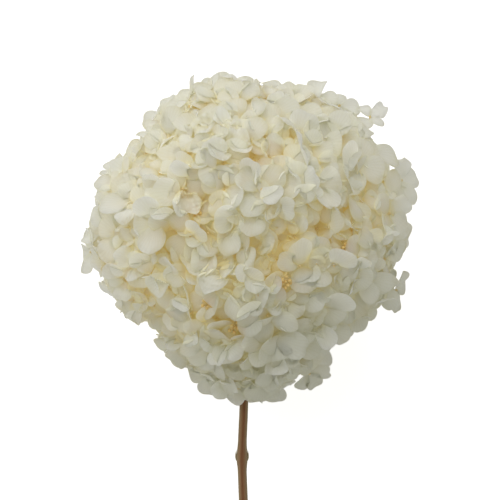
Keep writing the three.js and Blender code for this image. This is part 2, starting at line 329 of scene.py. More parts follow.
CLUSTERS = sorted(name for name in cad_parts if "_cluster_" in name)
CLUSTER_POINTS = [to_flower(node_points(name)) for name in CLUSTERS]
CLUSTER_MIDDLES = unit(np.stack([points.mean(0) for points in CLUSTER_POINTS]))
CLUSTER_FEET = np.stack(
    [points[np.linalg.norm(points, axis=1).argmin()] for points in CLUSTER_POINTS]
)
DOME_POINTS = np.concatenate(CLUSTER_POINTS)
DOME_RADII = np.linalg.norm(DOME_POINTS, axis=1)
DOME_DIRECTIONS = DOME_POINTS / DOME_RADII[:, None]


def head_reach(directions):
    """How far the head's outside lies along each direction: the mean of the cluster corners' radii,
    weighed by exp(-angle^2 / 2 window^2 + radius / softness), so that the outermost ones count, less
    depth exp(-angle^2 / 2 width^2) for each pinch, and less the depth of the folds."""
    window = math.radians(5)
    softness = 1.5 * MM
    angle = np.arccos(np.clip(directions @ DOME_DIRECTIONS.T, -1, 1))
    weight = np.exp(-0.5 * (angle / window) ** 2 + (DOME_RADII - DOME_RADII.max()) / softness)
    reach = (weight * DOME_RADII).sum(1) / weight.sum(1)
    for pinch, depth, width in PINCHES:
        aside = np.arccos(np.clip(directions @ unit(np.array(pinch)), -1, 1))
        reach -= depth * np.exp(-0.5 * (aside / math.radians(width)) ** 2)
    return reach - FOLD_DEPTH * fold_share(directions)


def on_front(places):
    """Directions to places given in mm to the right and up, on the side that faces up."""
    flat = np.array(places, float) * MM
    return unit(np.column_stack([flat, np.sqrt(HIGH_REACH**2 - (flat**2).sum(1))]))


def fold_share(directions):
    """1 at the middle of a fold and 0 away from it: exp(-angle^2 / 2 width^2) of the nearest place."""
    nearest = np.arccos(np.clip(directions @ on_front(FOLDS).T, -1, 1)).min(1)
    return np.exp(-0.5 * (nearest / FOLD_WIDTH) ** 2)


def tangents(directions):
    """Two unit directions across each given one, of which the first is also across a skew one."""
    skew = np.array([0.31, 0.87, 0.38])
    first = unit(np.cross(directions, skew))
    return first, np.cross(directions, first)


def head_normals(directions):
    """Outward normals of the head's outside, from how its reach changes along two tangents."""
    step = math.radians(3)
    first, second = tangents(directions)
    middle = head_reach(directions)
    slopes = [
        (head_reach(unit(directions + step * way)) - head_reach(unit(directions - step * way)))
        / (2 * step)
        for way in (first, second)
    ]
    leaning = middle[:, None] * directions - slopes[0][:, None] * first - slopes[1][:, None] * second
    return unit(leaning)


def spread_directions(count, rng):
    """Directions on a golden spiral over a ball, shaken, then eased apart in a few rounds. In each one
    two that are closer than they should rest are pushed apart by a share of what is missing. Those
    too close to the stem are left out."""
    step = np.arange(count) + 0.5
    polar = np.arccos(1 - 2 * step / count)
    turn = GOLDEN_TURN * step
    spiral = np.stack(
        [np.cos(turn) * np.sin(polar), np.cos(polar), np.sin(turn) * np.sin(polar)], 1
    )
    spacing = math.sqrt(4 * math.pi / count)
    shake = 0.35 * spacing
    rest = 0.95 * spacing
    share = 0.25
    sites = unit(spiral + rng.normal(0, shake, (count, 3)))
    itself = np.eye(count)
    for _ in range(6):
        apart = sites[:, None, :] - sites[None, :, :]
        distance = np.linalg.norm(apart, axis=2) + itself
        push = np.maximum(0, rest - distance) * (1 - itself)
        sites = unit(sites + share * (apart / distance[..., None] * push[..., None]).sum(1))
    return sites[np.arccos(np.clip(-sites[:, 1], -1, 1)) > STEM_CLEAR_ANGLE]


# ---------------------------------------------------------------- florets


def floret_table(directions, sink, rng):
    """Where each floret sits and how it faces: the way the head's outside does, plus LEAN_TO_LIGHT
    clip(z + 0.5, 0, 1) along z, where z is that of its direction, plus a lean by chance."""
    count = len(directions)
    reach = head_reach(directions)
    sunk = sink + OUTER_SINK + np.abs(rng.normal(0, SINK_SPREAD, count))
    middles = directions * (reach - sunk)[:, None]
    normals = head_normals(directions)
    lean = np.where(rng.random((count, 1)) < FAR_LEAN_SHARE, FAR_LEAN, LEAN)
    to_light = LEAN_TO_LIGHT * np.clip(0.5 + directions[:, 2:], 0, 1) * np.array([0, 0, 1.0])
    normals = unit(normals + to_light + lean * rng.normal(0, 1, (count, 3)))
    sizes = rng.normal(FLORET_SIZE, FLORET_SIZE_SPREAD, count)
    return floret_rows(middles, normals, sizes, rng)


def floret_rows(middles, normals, sizes, rng):
    """The table's rows for florets at these places, turned on their stalks by chance."""
    count = len(middles)
    first, second = tangents(normals)
    roll = rng.uniform(0, 2 * math.pi, count)
    across = first * np.cos(roll)[:, None] + second * np.sin(roll)[:, None]
    return {
        "middle": middles,
        "normal": normals,
        "across": across,
        "size": sizes,
        "tint": rng.uniform(0, 1, count),
        "cluster": (unit(middles) @ CLUSTER_MIDDLES.T).argmax(1),
    }


def disc_grid(cells):
    """A square grid bent on to a unit disc: x = u sqrt(1 - v^2 / 2), y = v sqrt(1 - u^2 / 2)."""
    line = np.linspace(-1, 1, cells + 1)
    u, v = np.meshgrid(line, line, indexing="ij")
    return u * np.sqrt(1 - v**2 / 2), v * np.sqrt(1 - u**2 / 2)


def shell_faces(cells):
    """Faces of a closed shell over a square grid. The two sides share their border, the upper side's
    points come first, and the lower side's inner points follow."""
    side = cells + 1
    upper = np.arange(side * side).reshape(side, side)
    lower = upper.copy()
    lower[1:-1, 1:-1] = side * side + np.arange((side - 2) ** 2).reshape(side - 2, side - 2)

    def quads(index):
        corners = [index[:-1, :-1], index[1:, :-1], index[1:, 1:], index[:-1, 1:]]
        return np.stack(corners, -1).reshape(-1, 4)

    return np.concatenate([quads(upper), quads(lower)[:, ::-1]])


DISC_X, DISC_Y = disc_grid(SEPAL_CELLS)
SEPAL_FACES = shell_faces(SEPAL_CELLS)


def sepal_tones(points, middles, rng):
    """How deep each point is and how much painted shade it gets, for sepals with these middles. Depth
    is the way under the head's outside in steps of gold, plus what folds and low outside add, plus
    chance. The painted shade grows along its way, down the stem and a little to the right, and with
    the fold and the depth."""
    reach = head_reach(unit(middles))[:, None]
    fold = fold_share(unit(middles))[:, None]
    depth = (reach - np.linalg.norm(points, axis=2)) / DEPTH_OF_GOLD
    depth = depth + FOLD_STEP * fold
    depth = depth + np.maximum(0, HIGH_REACH - reach) / LOW_REACH_STEP
    depth = depth + rng.normal(0, DEPTH_SPREAD, (len(points), 1))
    painted_shade = np.clip((points @ SHADE_WAY - SHADE_START) / SHADE_REACH, 0, 1)
    deepest = SHADE_PER_DEPTH * np.clip(depth - SHADE_DEPTH, 0, 1)
    return depth, np.clip(painted_shade + SHADE_IN_FOLD * fold + deepest, 0, 1)


def sepal_shells(florets, rng):
    """Closed shells of four sepals for each floret.

    Over the unit disc (x, y), t = (y + 1) / 2 runs from base to tip. The middle line is an arc that
    leaves at the pitch and turns by the curl: with q = pitch + curl t it goes length / curl
    (sin q - sin pitch) outwards and length / curl (cos pitch - cos q) up. The half width is
    width / 2 (0.62 + 0.38 t^0.6) x. The tip is drawn in by notch exp(-(x / 0.3)^2) t^6, or
    drawn out where notch is below 0. Height is added for the cup, cup width x^2, and for the ruffle,
    ruffle r^3 sin(waves turn + phase), and half the thickness times (1 - r^2) parts the two sides.
    Two opposite sepals are lifted above the others."""
    count = len(florets["middle"])
    each_sepal = (count, 4, 1, 1)
    upper_pair = np.array([0, 1, 0, 1]).reshape(1, 4, 1, 1)
    size = florets["size"][:, None, None, None]

    def draw(part):
        return rng.normal(*SEPAL_CHANCES[part], each_sepal)

    length = SEPAL_LENGTH * size * np.clip(draw("length"), *LENGTH_LIMITS)
    width = SEPAL_WIDTH * size * np.clip(draw("width"), *WIDTH_LIMITS)
    pitch = np.radians(draw("pitch") + UPPER_PAIR_PITCH * upper_pair)
    curl = np.radians(draw("curl"))
    curl = np.where(np.abs(curl) < LEAST_CURL, LEAST_CURL, curl)
    cup = draw("cup")
    ruffle = np.abs(draw("ruffle")) * width
    waves = rng.integers(2, 5, each_sepal)
    phase = rng.uniform(0, 2 * math.pi, each_sepal)
    notch = draw("notch") * length
    yaw = np.radians(draw("yaw")) + np.arange(4).reshape(1, 4, 1, 1) * math.pi / 2

    x, y = DISC_X[None, None], DISC_Y[None, None]
    radius = np.sqrt(x**2 + y**2)
    turn = np.arctan2(y, x)
    t = (y + 1) / 2
    bend = pitch + curl * t
    outwards = length / curl * (np.sin(bend) - np.sin(pitch))
    upwards = length / curl * (np.cos(pitch) - np.cos(bend))
    sideways = width / 2 * (0.62 + 0.38 * t**0.6) * x
    outwards = outwards - notch * np.exp(-((x / 0.3) ** 2)) * t**6
    upwards = upwards + cup * width * x**2 + ruffle * radius**3 * np.sin(waves * turn + phase)
    upwards = upwards + UPPER_PAIR_LIFT * upper_pair
    parting = 0.5 * SEPAL_THICKNESS * (1 - radius**2)

    normal = florets["normal"][:, None, None, None, :]
    across = florets["across"][:, None, None, None, :]
    third = np.cross(florets["normal"], florets["across"])[:, None, None, None, :]
    out_way = np.cos(yaw)[..., None] * across + np.sin(yaw)[..., None] * third
    side_way = np.cross(out_way, normal)
    base = florets["middle"][:, None, None, None, :] + SEPAL_BASE * out_way

    def place(height):
        spread = outwards[..., None] * out_way + sideways[..., None] * side_way
        return base + spread + height[..., None] * normal

    inner = (slice(None), slice(None), slice(1, -1), slice(1, -1))

    def both(values):
        """A value for each point: the upper side's, then the lower side's inner ones."""
        values = np.broadcast_to(values, (count, 4) + DISC_X.shape)
        return np.concatenate(
            [values.reshape(count * 4, -1), values[inner].reshape(count * 4, -1)], 1
        )

    upper = place(upwards + parting).reshape(count * 4, -1, 3)
    lower = place(upwards - parting)[inner].reshape(count * 4, -1, 3)
    points = np.concatenate([upper, lower], 1)
    depth, painted_shade = sepal_tones(points, upper[:, DISC_X.size // 2], rng)
    own_tint = rng.uniform(0, 1 - FLORET_TINT, each_sepal)
    tint = florets["tint"][:, None, None, None] * FLORET_TINT + own_tint
    uv = np.stack([both((x + 1) / 2), both(t)], -1)
    return {
        "points": points.reshape(-1, 3),
        "faces": repeat_faces(SEPAL_FACES, count * 4, points.shape[1]),
        "uv": uv.reshape(-1, 2),
        "depth": depth.ravel(),
        "painted_shade": painted_shade.ravel(),
        "tint": both(tint).ravel(),
    }


def tubes(paths, radii, sides):
    """Closed tubes, one for each path. paths is (count, steps, 3) and radii (count, steps). Returns
    their points, and their faces as walls and caps."""
    count, steps, _ = paths.shape
    along = unit(np.gradient(paths, axis=1))
    helper = np.where(np.abs(along[..., :1]) > 0.9, [[[0.0, 1.0, 0.0]]], [[[1.0, 0.0, 0.0]]])
    first = unit(np.cross(along, helper))
    second = np.cross(along, first)
    turn = np.linspace(0, 2 * math.pi, sides, endpoint=False)[:, None]
    ring = paths[:, :, None] + radii[..., None, None] * (
        np.cos(turn) * first[:, :, None] + np.sin(turn) * second[:, :, None]
    )
    points = np.concatenate([paths[:, :1], ring.reshape(count, -1, 3), paths[:, -1:]], 1)
    face_sets = [repeat_faces(faces, count, points.shape[1]) for faces in tube_faces(steps, sides)]
    return points.reshape(-1, 3), face_sets


def stalk_paths(florets, bud_radius, gold):
    """A thin stalk for each floret or fertile bud, with that bud or the floret's eye swelling at its
    end. It is a Bezier arc over t from its cluster's foot to the floret's back. Returns paths, radii
    and how golden each ring is: gold on the bud and gold (t / 2)^2 on the stalk."""
    foot = CLUSTER_FEET[florets["cluster"]][:, None]
    top = florets["middle"][:, None]
    normal = florets["normal"][:, None]
    length = np.linalg.norm(top - foot, axis=2, keepdims=True)
    bend = top - normal * STALK_BEND * length
    t = np.linspace(0, 1, STALK_RINGS)[None, :, None]
    path = (1 - t) ** 2 * foot + 2 * t * (1 - t) * bend + t**2 * top
    bud_heights = BUD_RING_HEIGHTS * 2 * bud_radius + BUD_LIFT
    path = np.concatenate([path, top + normal * bud_heights[None, :, None]], 1)
    stalk_radii = np.linspace(*STALK_TAPER, STALK_RINGS) * STALK_RADIUS
    radii = np.concatenate([stalk_radii, BUD_RING_RADII * bud_radius])
    share = gold * np.concatenate(
        [np.linspace(0, 0.5, STALK_RINGS) ** 2, np.ones(len(BUD_RING_HEIGHTS))]
    )
    every_ring = path.shape[:2]
    return path, np.broadcast_to(radii, every_ring), np.broadcast_to(share, every_ring)


def bud_table(rng):
    """Fertile buds in knots: each knot's buds lie on a golden spiral over a small disc. The knots that
    show come first, then knots spread over the whole head that the florets mostly hide."""
    knots = np.concatenate([on_front(BUD_KNOTS), spread_directions(HIDDEN_KNOTS, rng)])
    sunk = np.full(len(knots), HIDDEN_KNOT_SINK)
    sunk[: len(BUD_KNOTS)] = KNOT_SINKS
    centres = knots * (head_reach(knots) - sunk)[:, None]
    first, second = tangents(knots)
    step = np.arange(BUDS_IN_KNOT) + 0.5
    radius = KNOT_RADIUS * np.sqrt(step / BUDS_IN_KNOT)
    turn = GOLDEN_TURN * step
    places = (
        centres[:, None]
        + (radius * np.cos(turn))[None, :, None] * first[:, None]
        + (radius * np.sin(turn))[None, :, None] * second[:, None]
    ).reshape(-1, 3)
    normals = unit(np.repeat(knots, BUDS_IN_KNOT, 0) + rng.normal(0, BUD_LEAN, places.shape))
    places = places - normals * rng.uniform(0, BUD_SINK_SPREAD, (len(places), 1))
    return floret_rows(places, normals, np.ones(len(places)), rng)


# ---------------------------------------------------------------- shader nodes


def new_group(name, inputs, output):
    """A node group with inputs given as name, kind and default, and one plain output."""
    group = bpy.data.node_groups.new(name, "ShaderNodeTree")
    for label, kind, default in inputs:
        made = group.interface.new_socket(name=label, in_out="INPUT", socket_type=kind)
        if default is not None:
            made.default_value = default
    group.interface.new_socket(name=output, in_out="OUTPUT", socket_type="NodeSocketFloat")
    return group, group.nodes.new("NodeGroupInput"), group.nodes.new("NodeGroupOutput")


def use_group(tree, group, place):
    """A node of a group in another tree, fed with the place. Returns the group's output."""
    made = tree.nodes.new("ShaderNodeGroup")
    made.node_tree = group
    tree.links.new(place, made.inputs["Place"])
    return made.outputs[0]


def feed(tree, target, value):
    """Links an output to an input, or sets the input's plain value."""
    if isinstance(value, bpy.types.NodeSocket):
        tree.links.new(value, target)
    else:
        target.default_value = value


def calculate(tree, operation, first, second=0.0, clamp=False):
    made = tree.nodes.new("ShaderNodeMath")
    made.operation = operation
    made.use_clamp = clamp
    feed(tree, made.inputs[0], first)
    feed(tree, made.inputs[1], second)
    return made.outputs[0]


def weighted_sum(tree, start, terms):
    """The start plus each term's value times its share, held between 0 and 1."""
    total = start
    for value, share in terms:
        total = calculate(tree, "ADD", total, calculate(tree, "MULTIPLY", value, share))
    return calculate(tree, "ADD", total, 0.0, True)


def blend_colour(tree, share, first, second, kind="MIX"):
    made = tree.nodes.new("ShaderNodeMix")
    made.data_type = "RGBA"
    made.blend_type = kind
    feed(tree, made.inputs[0], share)
    feed(tree, made.inputs[6], first)
    feed(tree, made.inputs[7], second)
    return made.outputs[2]


def colour_ramp(tree, value, stops):
    """The colour for a value, between stops that are given as position and colour."""
    made = tree.nodes.new("ShaderNodeValToRGB")
    tree.links.new(value, made.inputs[0])
    elements = made.color_ramp.elements
    for element, (position, colour) in zip((elements[0], elements[1]), (stops[0], stops[-1])):
        element.position = position
        element.color = colour
    for position, colour in stops[1:-1]:
        elements.new(position).color = colour
    return made.outputs[0]


def noise(tree, vector, scale, detail=3.0):
    made = tree.nodes.new("ShaderNodeTexNoise")
    feed(tree, made.inputs["Vector"], vector)
    made.inputs["Scale"].default_value = scale
    made.inputs["Detail"].default_value = detail
    return made.outputs["Fac"]


def attribute(tree, name):
    made = tree.nodes.new("ShaderNodeAttribute")
    made.attribute_name = name
    return made.outputs["Fac"]


def object_place(tree):
    return tree.nodes.new("ShaderNodeTexCoord").outputs["Object"]


def surface_uv(tree):
    made = tree.nodes.new("ShaderNodeUVMap")
    made.uv_map = "surface"
    return made.outputs["UV"]


def split_place(tree, place):
    """The outputs X, Y and Z of a place."""
    made = tree.nodes.new("ShaderNodeSeparateXYZ")
    tree.links.new(place, made.inputs[0])
    return made.outputs


def bump(tree, height, distance, strength=1.0):
    made = tree.nodes.new("ShaderNodeBump")
    made.inputs["Strength"].default_value = strength
    made.inputs["Distance"].default_value = distance
    feed(tree, made.inputs["Height"], height)
    return made.outputs["Normal"]


def new_material(name, **plain):
    """A Principled material with its plain values set, and its node tree and shader."""
    material = bpy.data.materials.new(name)
    material.use_nodes = True
    tree = material.node_tree
    shader = tree.nodes["Principled BSDF"]
    for label, value in plain.items():
        shader.inputs[label.replace("_", " ")].default_value = value
    return material, tree, shader


# ---------------------------------------------------------------- materials

IVORY = (0.91, 0.905, 0.805, 1)
PALE_STRAW = (0.94, 0.91, 0.715, 1)
SEPAL_GOLD = (0.935, 0.83, 0.41, 1)
VEIN_BROWN = (0.66, 0.60, 0.38, 1)
SHADE_GREY = (0.86, 0.865, 0.815, 1)  # painted shade: a shaded sepal's colour is multiplied by this,
GLOW_SHADE_GREY = (0.72, 0.73, 0.68, 1)  # and its painted glow by this
# Painted light: the sepals give off a faint glow of these colours, ivory outside and golden deeper in,
# though they are no lamp.
IVORY_PAINTED_GLOW = (0.42, 0.41, 0.335, 1)
GOLD_PAINTED_GLOW = (0.64, 0.565, 0.30, 1)
WARM_FROM = 0.355  # sepals turn warmer from this depth on
# Warmth is added at a sepal's base and rim, and by its tint and in patches. The warmth at the rim is
# painted shadow: thin golden lines where shade falls between the sepals.
WARM_BASE = 0.3
# painted shadow at the rim
RIM_PAINTED_SHADOW = 0.4
WARM_TINT = 0.15
WARM_PATCHES = 0.15
VEIN_STRENGTH = 0.16
# The straw, gold and brown are blends of a pair, by patches or fibres.
STALK_STRAW = ((0.88, 0.82, 0.58, 1), (0.74, 0.62, 0.34, 1))
BUD_GOLD = ((0.90, 0.71, 0.32, 1), (0.78, 0.54, 0.20, 1))
BARK_BROWN = ((0.155, 0.062, 0.025, 1), (0.29, 0.13, 0.056, 1))
RIDGE_BROWN = (0.34, 0.165, 0.078, 1)
# painted sheen on the stem's flanks, and the leaf buds' own olive
SHEEN_AND_BUD_OLIVE = (0.56, 0.52, 0.33, 1)
PITH = (0.80, 0.74, 0.56, 1)
WOOD = (0.62, 0.48, 0.27, 1)
INNER_BARK = (0.30, 0.19, 0.09, 1)


def vein_group():
    """Fine veins that fan out from a point a quarter of a sepal behind its base. The mask is 1 on a
    vein and 0 between."""
    group, inside, outside = new_group(
        "sepal_veins",
        [
            ("Place", "NodeSocketVector", None),
            ("Veins", "NodeSocketFloat", 9.0),
            ("Wander", "NodeSocketFloat", 0.5),
        ],
        "Vein",
    )
    place = inside.outputs["Place"]
    split = split_place(group, place)
    sideways = calculate(group, "SUBTRACT", split["X"], 0.5)
    along = calculate(group, "ADD", split["Y"], 0.25)
    fan = calculate(group, "ARCTAN2", sideways, along)
    fan = calculate(group, "MULTIPLY", fan, inside.outputs["Veins"])
    wander = calculate(group, "MULTIPLY", noise(group, place, 4.0), inside.outputs["Wander"])
    turn = calculate(group, "MULTIPLY", calculate(group, "ADD", fan, wander), math.pi)
    wave = calculate(group, "ABSOLUTE", calculate(group, "SINE", turn))
    between = calculate(group, "POWER", wave, 0.35)
    group.links.new(calculate(group, "SUBTRACT", 1.0, between, True), outside.inputs["Vein"])
    return group


def rim_group():
    """The edge of a sepal. With r from 0 at its middle to 1 at its edge, the mask is r^sharpness."""
    group, inside, outside = new_group(
        "sepal_rim",
        [("Place", "NodeSocketVector", None), ("Sharpness", "NodeSocketFloat", 12.0)],
        "Rim",
    )
    from_middle = group.nodes.new("ShaderNodeVectorMath")
    from_middle.operation = "DISTANCE"
    from_middle.inputs[1].default_value = (0.5, 0.5, 0.0)
    group.links.new(inside.outputs["Place"], from_middle.inputs[0])
    radius = calculate(group, "MULTIPLY", from_middle.outputs["Value"], 2.0, True)
    rim = calculate(group, "POWER", radius, inside.outputs["Sharpness"])
    group.links.new(rim, outside.inputs["Rim"])
    return group


def sepal_material(veins, rims):
    """Cream sepals: ivory outside, straw and gold deeper in the folds, at their bases and at their
    edges, and painted greyer where shade falls. The gold deeper in is partly the sepals' own colour
    and partly painted light, the gold at their edges is painted shadow, and they give off a faint
    painted glow though they are no lamp."""
    material, tree, shader = new_material(
        "cream_sepals",
        Roughness=0.62,
        Specular_IOR_Level=0.28,
        Subsurface_Weight=1.0,
        Subsurface_Scale=0.0018,
        Subsurface_Radius=(1.0, 0.97, 0.9),
        Sheen_Weight=0.08,
        Emission_Strength=0.08,
    )
    uv = surface_uv(tree)
    place = object_place(tree)
    from_tip = calculate(tree, "SUBTRACT", 1.0, split_place(tree, uv)["Y"], True)
    near_base = calculate(tree, "POWER", from_tip, 2.2)
    vein = use_group(tree, veins, uv)
    warmth = weighted_sum(
        tree,
        calculate(tree, "SUBTRACT", attribute(tree, "depth"), WARM_FROM),
        [
            (near_base, WARM_BASE),
            (attribute(tree, "tint"), WARM_TINT),
            (use_group(tree, rims, uv), RIM_PAINTED_SHADOW),
            (noise(tree, place, 60.0), WARM_PATCHES),
        ],
    )
    plain = colour_ramp(tree, warmth, [(0.0, IVORY), (0.45, PALE_STRAW), (1.0, SEPAL_GOLD)])
    veined = blend_colour(tree, calculate(tree, "MULTIPLY", vein, VEIN_STRENGTH), plain, VEIN_BROWN)
    # painted shade: greyer and greener where shade falls, by the painted_shade attribute
    painted_shade = attribute(tree, "painted_shade")
    colour = blend_colour(tree, painted_shade, veined, SHADE_GREY, "MULTIPLY")
    tree.links.new(colour, shader.inputs["Base Color"])
    # painted light: a faint glow from the sepals, golder where they are warmer
    painted_glow = blend_colour(tree, warmth, IVORY_PAINTED_GLOW, GOLD_PAINTED_GLOW)
    painted_glow = blend_colour(tree, painted_shade, painted_glow, GLOW_SHADE_GREY, "MULTIPLY")
    tree.links.new(painted_glow, shader.inputs["Emission Color"])
    sunk_veins = calculate(tree, "MULTIPLY", vein, -0.6)
    height = calculate(tree, "ADD", sunk_veins, noise(tree, place, 900.0, 2.0))
    tree.links.new(bump(tree, height, 0.12 * MM, 0.5), shader.inputs["Normal"])
    return material


def stalk_material():
    """Pale straw stalks with finer darker patches, turning to gold at a bud. They give off a faint
    painted glow of their own colour, though they are no lamp.
    """
    material, tree, shader = new_material(
        "straw_stalks", Roughness=0.7, Specular_IOR_Level=0.25, Emission_Strength=0.05
    )
    place = object_place(tree)
    patches = noise(tree, place, 120.0)
    straw = blend_colour(tree, patches, *STALK_STRAW)
    gold = blend_colour(tree, patches, *BUD_GOLD)
    colour = blend_colour(tree, attribute(tree, "bud"), straw, gold)
    tree.links.new(colour, shader.inputs["Base Color"])
    # painted light: the stalks glow faintly in their own colour
    tree.links.new(colour, shader.inputs["Emission Color"])
    tree.links.new(bump(tree, noise(tree, place, 2500.0), 0.1 * MM), shader.inputs["Normal"])
    return material


def bark_material():
    """Fibrous red brown bark with a painted olive sheen on the stem's flanks and olive leaf buds, with
    straw wood round a pale pith where it is cut."""
    material, tree, shader = new_material("brown_bark", Roughness=0.8, Specular_IOR_Level=0.25)
    stretch = tree.nodes.new("ShaderNodeMapping")
    stretch.inputs["Scale"].default_value = (9.0, 22.0, 1.0)
    tree.links.new(surface_uv(tree), stretch.inputs["Vector"])
    fibres = noise(tree, stretch.outputs["Vector"], 3.0, 6.0)
    brown = blend_colour(tree, fibres, *BARK_BROWN)
    ridged = blend_colour(tree, attribute(tree, "groove"), RIDGE_BROWN, brown)
    patchy = calculate(tree, "ADD", fibres, 0.35)
    # painted sheen: olive on the stem's flanks, less in the grooves; on the leaf buds it is their own
    # colour
    olive = calculate(tree, "MULTIPLY", attribute(tree, "flank"), patchy, True)
    flanked = blend_colour(tree, olive, ridged, SHEEN_AND_BUD_OLIVE)
    heart = attribute(tree, "heart")
    wood = colour_ramp(tree, heart, [(0.25, PITH), (0.45, WOOD), (0.97, INNER_BARK)])
    colour = blend_colour(tree, attribute(tree, "cut"), flanked, wood)
    tree.links.new(colour, shader.inputs["Base Color"])
    tree.links.new(bump(tree, fibres, 0.3 * MM, 0.6), shader.inputs["Normal"])
    return material


def table_material():
    """A pale table that looks white and throws only a little light back on to the flower."""
    material, tree, shader = new_material(
        "pale_table",
        Roughness=0.9,
        Specular_IOR_Level=0.1,
        Base_Color=(0.85, 0.85, 0.84, 1),
        Emission_Color=(1, 1, 1, 1),
    )
    seen = tree.nodes.new("ShaderNodeLightPath").outputs["Is Camera Ray"]
    tree.links.new(calculate(tree, "MULTIPLY", seen, TABLE_GLOW), shader.inputs["Emission Strength"])
    return material


# ---------------------------------------------------------------- the head


def pick(florets, chosen):
    return {key: values[chosen] for key, values in florets.items()}


def join_tables(tables):
    return {key: np.concatenate([table[key] for table in tables]) for key in tables[0]}


def build_cluster(name, florets, buds, materials):
    """One cluster's florets as one piece, and their stalks with the fertile buds as another."""
    shells = sepal_shells(florets, draws(100 + CLUSTERS.index(name)))
    points = press_on_table(to_world(shells["points"]))
    piece = mesh_object(
        f"{name}_florets", points, [shells["faces"]], materials["sepals"], name
    )
    for tone in ("depth", "tint", "painted_shade"):
        point_attribute(piece, tone, shells[tone])
    point_uv(piece, shells["uv"])
    piece.data.set_sharp_from_angle(angle=SEPAL_SHARP_ANGLE)

    eyed = stalk_paths(florets, EYE_RADIUS, EYE_GOLD)
    budded = stalk_paths(buds, BUD_RADIUS, 1.0)
    paths, radii, gold = (np.concatenate(parts) for parts in zip(eyed, budded))
    points, face_sets = tubes(paths, radii, STALK_SIDES)
    points = press_on_table(to_world(points))
    stalks = mesh_object(f"{name}_stalks", points, face_sets, materials["stalks"])
    ring_gold = np.repeat(gold, STALK_SIDES, axis=1)
    point_attribute(stalks, "bud", np.concatenate([gold[:, :1], ring_gold, gold[:, -1:]], 1))


def build_head(materials):
    buds = bud_table(draws(1))
    outer_directions = spread_directions(OUTER_FLORETS, draws(2))
    shown = unit(buds["middle"][: len(BUD_KNOTS) * BUDS_IN_KNOT : BUDS_IN_KNOT])
    clear = (outer_directions @ shown.T).max(1) < math.cos(KNOT_CLEAR_ANGLE)
    outer = floret_table(outer_directions[clear], 0.0, draws(3))
    inner = floret_table(spread_directions(INNER_FLORETS, draws(4)), INNER_SINK, draws(5))
    deep = floret_table(spread_directions(DEEP_FLORETS, draws(6)), DEEP_SINK, draws(7))
    places, ways, sizes = (np.array(column, float) for column in zip(*STRAY_FLORETS))
    stray = floret_rows(places * MM, unit(ways), sizes, draws(8))
    florets = join_tables([outer, inner, deep, stray])
    for number, name in enumerate(CLUSTERS):
        own_florets = pick(florets, florets["cluster"] == number)
        own_buds = pick(buds, buds["cluster"] == number)
        build_cluster(name, own_florets, own_buds, materials)


def finish_branches(material):
    """The branches keep their CAD meshes, with a material of the scene's."""
    for name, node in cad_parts.items():
        if name.endswith("_branch"):
            node.data.materials.clear()
            node.data.materials.append(material)


# ---------------------------------------------------------------- the stem


def stem_rings():
    """The middle and radius of each ring of the CAD stem, from the cut end up, in the flower's frame.
    A ring is a run of corners with no step of more than 1 mm between their heights."""
    points = to_flower(node_points("stem"))
    points = points[points[:, 1].argsort()]
    starts = np.concatenate([[0], 1 + np.flatnonzero(np.diff(points[:, 1]) > 1 * MM)])
    counts = np.diff(np.append(starts, len(points)))
    middles = np.add.reduceat(points, starts) / counts[:, None]
    spans = np.linalg.norm(points - np.repeat(middles, counts, 0), axis=1)
    return middles, np.maximum.reduceat(spans, starts)


def smoothed(values):
    """Each value's mean with its neighbours, with the first and last value repeated past the ends."""
    padded = np.pad(values, STEM_SMOOTHING // 2, mode="edge")
    return np.convolve(padded, np.ones(STEM_SMOOTHING) / STEM_SMOOTHING, "valid")


def stem_line():
    """The stem's middle line and radius at even heights, from the cut end up."""
    middles, radii = stem_rings()
    heights = np.linspace(middles[0, 1], middles[-1, 1], STEM_STEPS)
    radius = smoothed(np.interp(heights, middles[:, 1], radii))
    right = smoothed(np.interp(heights, middles[:, 1], middles[:, 0]))
    front = smoothed(np.interp(heights, middles[:, 1], middles[:, 2]))
    return np.stack([right, heights, front], 1), radius


def over_stem(values, end_values):
    """A value for each point of the stem: the wall's, and one for each end ring, of which the first
    serves the middles too."""
    end = np.broadcast_to(end_values[:, None], (len(END_RINGS), STEM_SIDES))
    rings = np.concatenate([end, values, end[::-1]]).ravel()
    return np.concatenate([[end_values[0]], rings, [end_values[0]]])


